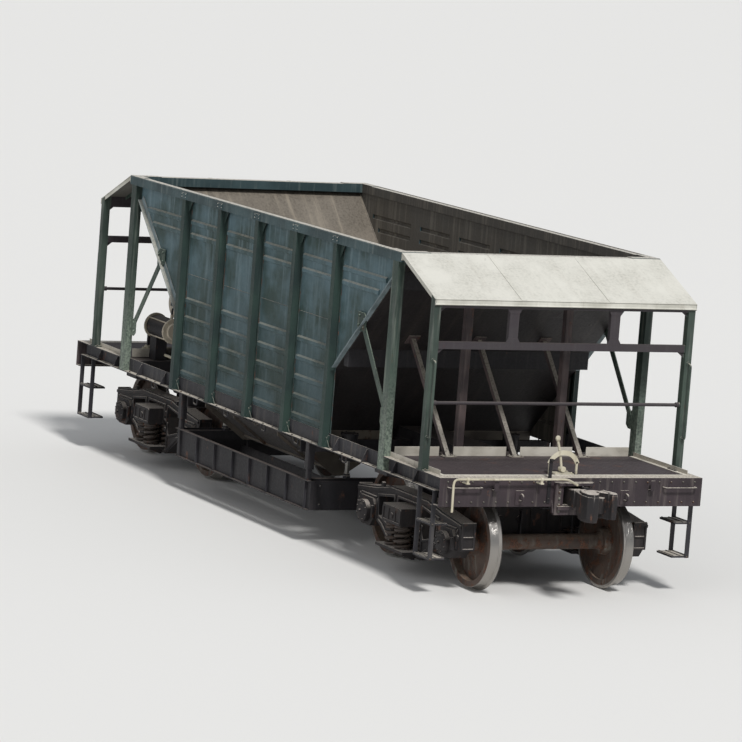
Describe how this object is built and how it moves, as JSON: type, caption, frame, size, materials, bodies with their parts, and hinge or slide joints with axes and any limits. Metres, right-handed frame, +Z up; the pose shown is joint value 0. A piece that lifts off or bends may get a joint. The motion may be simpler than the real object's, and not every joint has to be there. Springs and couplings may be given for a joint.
{
  "type": "open hopper wagon",
  "caption": "Open-topped railway hopper wagon with sloped ends, discharge doors over a metering frame, and end platforms on two bogies.",
  "frame": {"origin": "below the middle of the wagon, on the floor that the wheel flanges touch", "axes": "+X along the wagon towards its front end, +Y to its left, +Z up"},
  "size_m": [11.16, 3.1, 3.428],
  "materials": {
    "side_paint": "faded grey-green paint, dusty",
    "post_paint": "green paint, chalked and rubbed on the edges",
    "visor_paint": "pale paint under limestone dust",
    "hopper_plate": "bare plate scoured by stone, with rust",
    "sill_paint": "green paint under a thick layer of dust",
    "deck_plate": "dark painted chequered plate, dusty",
    "frame_paint": "near-black underframe paint with brake dust",
    "wheel_steel": "rolled steel, brown web and bright tread",
    "cast_steel": "cast steel, brown-black with dust",
    "spring_steel": "dark wound bar",
    "tank_paint": "beige paint, dusty",
    "rod_steel": "greased polished rod"
  },
  "bodies": {
    "root": {"air_reservoir": "tank_paint", "bay_sheets": "side_paint", "body_bolsters": "frame_paint", "brake_cylinder": "tank_paint", "brake_pipe": "frame_paint", "centre_sill": "frame_paint", "corner_posts": "post_paint", "couplers": "cast_steel", "cross_bearers": "frame_paint", "door_cylinders": "tank_paint", "door_hinges": "frame_paint", "end_frames": "post_paint", "headstocks": "sill_paint", "hinge_aprons": "hopper_plate", "lift_cylinders": "frame_paint", "metering_guides": "frame_paint", "platforms": "deck_plate", "ridge": "hopper_plate", "side_posts": "post_paint", "side_sheets": "side_paint", "side_sills": "sill_paint", "slope_sheets": "hopper_plate", "slope_stanchions": "frame_paint", "slope_stiffeners": "frame_paint", "step_stiles": "sill_paint", "step_treads": "sill_paint", "throat_plates": "hopper_plate", "top_frame": "post_paint", "visors": "visor_paint"},
    "door_outer_left": {"door_outer_left": "frame_paint"},
    "door_outer_right": {"door_outer_right": "frame_paint"},
    "door_inner_left": {"door_inner_left": "frame_paint"},
    "door_inner_right": {"door_inner_right": "frame_paint"},
    "metering": {"metering_side_boards": "frame_paint", "metering_end_boards": "frame_paint", "metering_inner_boards": "frame_paint", "metering_cross_bars": "frame_paint", "metering_uprights": "frame_paint", "lift_rods": "rod_steel"},
    "bogie_front": {"side_frames_front": "cast_steel", "axle_boxes_front": "cast_steel", "springs_front": "spring_steel", "bogie_bolster_front": "cast_steel", "brake_beams_front": "cast_steel"},
    "wheelset_front_inner": {"wheelset_front_inner": "wheel_steel"},
    "wheelset_front_outer": {"wheelset_front_outer": "wheel_steel"},
    "bogie_rear": {"side_frames_rear": "cast_steel", "axle_boxes_rear": "cast_steel", "springs_rear": "spring_steel", "bogie_bolster_rear": "cast_steel", "brake_beams_rear": "cast_steel"},
    "wheelset_rear_inner": {"wheelset_rear_inner": "wheel_steel"},
    "wheelset_rear_outer": {"wheelset_rear_outer": "wheel_steel"}
  },
  "joints": [
    {"name": "bogie_front_turn", "type": "hinge", "parent": "root", "child": "bogie_front", "pos_m": [3.325, 0, 0.808], "axis": [0, 0, 1], "range_deg": [-4, 4]},
    {"name": "wheelset_front_inner_roll", "type": "hinge", "parent": "bogie_front", "child": "wheelset_front_inner", "pos_m": [2.4, 0, 0.503], "axis": [0, 1, 0], "continuous": true},
    {"name": "wheelset_front_outer_roll", "type": "hinge", "parent": "bogie_front", "child": "wheelset_front_outer", "pos_m": [4.25, 0, 0.503], "axis": [0, 1, 0], "continuous": true},
    {"name": "bogie_rear_turn", "type": "hinge", "parent": "root", "child": "bogie_rear", "pos_m": [-3.325, 0, 0.808], "axis": [0, 0, 1], "range_deg": [-4, 4]},
    {"name": "wheelset_rear_inner_roll", "type": "hinge", "parent": "bogie_rear", "child": "wheelset_rear_inner", "pos_m": [-2.4, 0, 0.503], "axis": [0, 1, 0], "continuous": true},
    {"name": "wheelset_rear_outer_roll", "type": "hinge", "parent": "bogie_rear", "child": "wheelset_rear_outer", "pos_m": [-4.25, 0, 0.503], "axis": [0, 1, 0], "continuous": true},
    {"name": "door_outer_left_open", "type": "hinge", "parent": "root", "child": "door_outer_left", "pos_m": [0, 1.44, 1.103], "axis": [1, 0, 0], "range_deg": [0, 45]},
    {"name": "door_inner_left_open", "type": "hinge", "parent": "root", "child": "door_inner_left", "pos_m": [0, 0.49, 1.103], "axis": [-1, 0, 0], "range_deg": [0, 40]},
    {"name": "door_outer_right_open", "type": "hinge", "parent": "root", "child": "door_outer_right", "pos_m": [0, -1.44, 1.103], "axis": [-1, 0, 0], "range_deg": [0, 45]},
    {"name": "door_inner_right_open", "type": "hinge", "parent": "root", "child": "door_inner_right", "pos_m": [0, -0.49, 1.103], "axis": [1, 0, 0], "range_deg": [0, 40]},
    {"name": "metering_lower", "type": "slide", "parent": "root", "child": "metering", "axis": [0, 0, 1], "range_m": [-0.2, 0]}
  ]
}
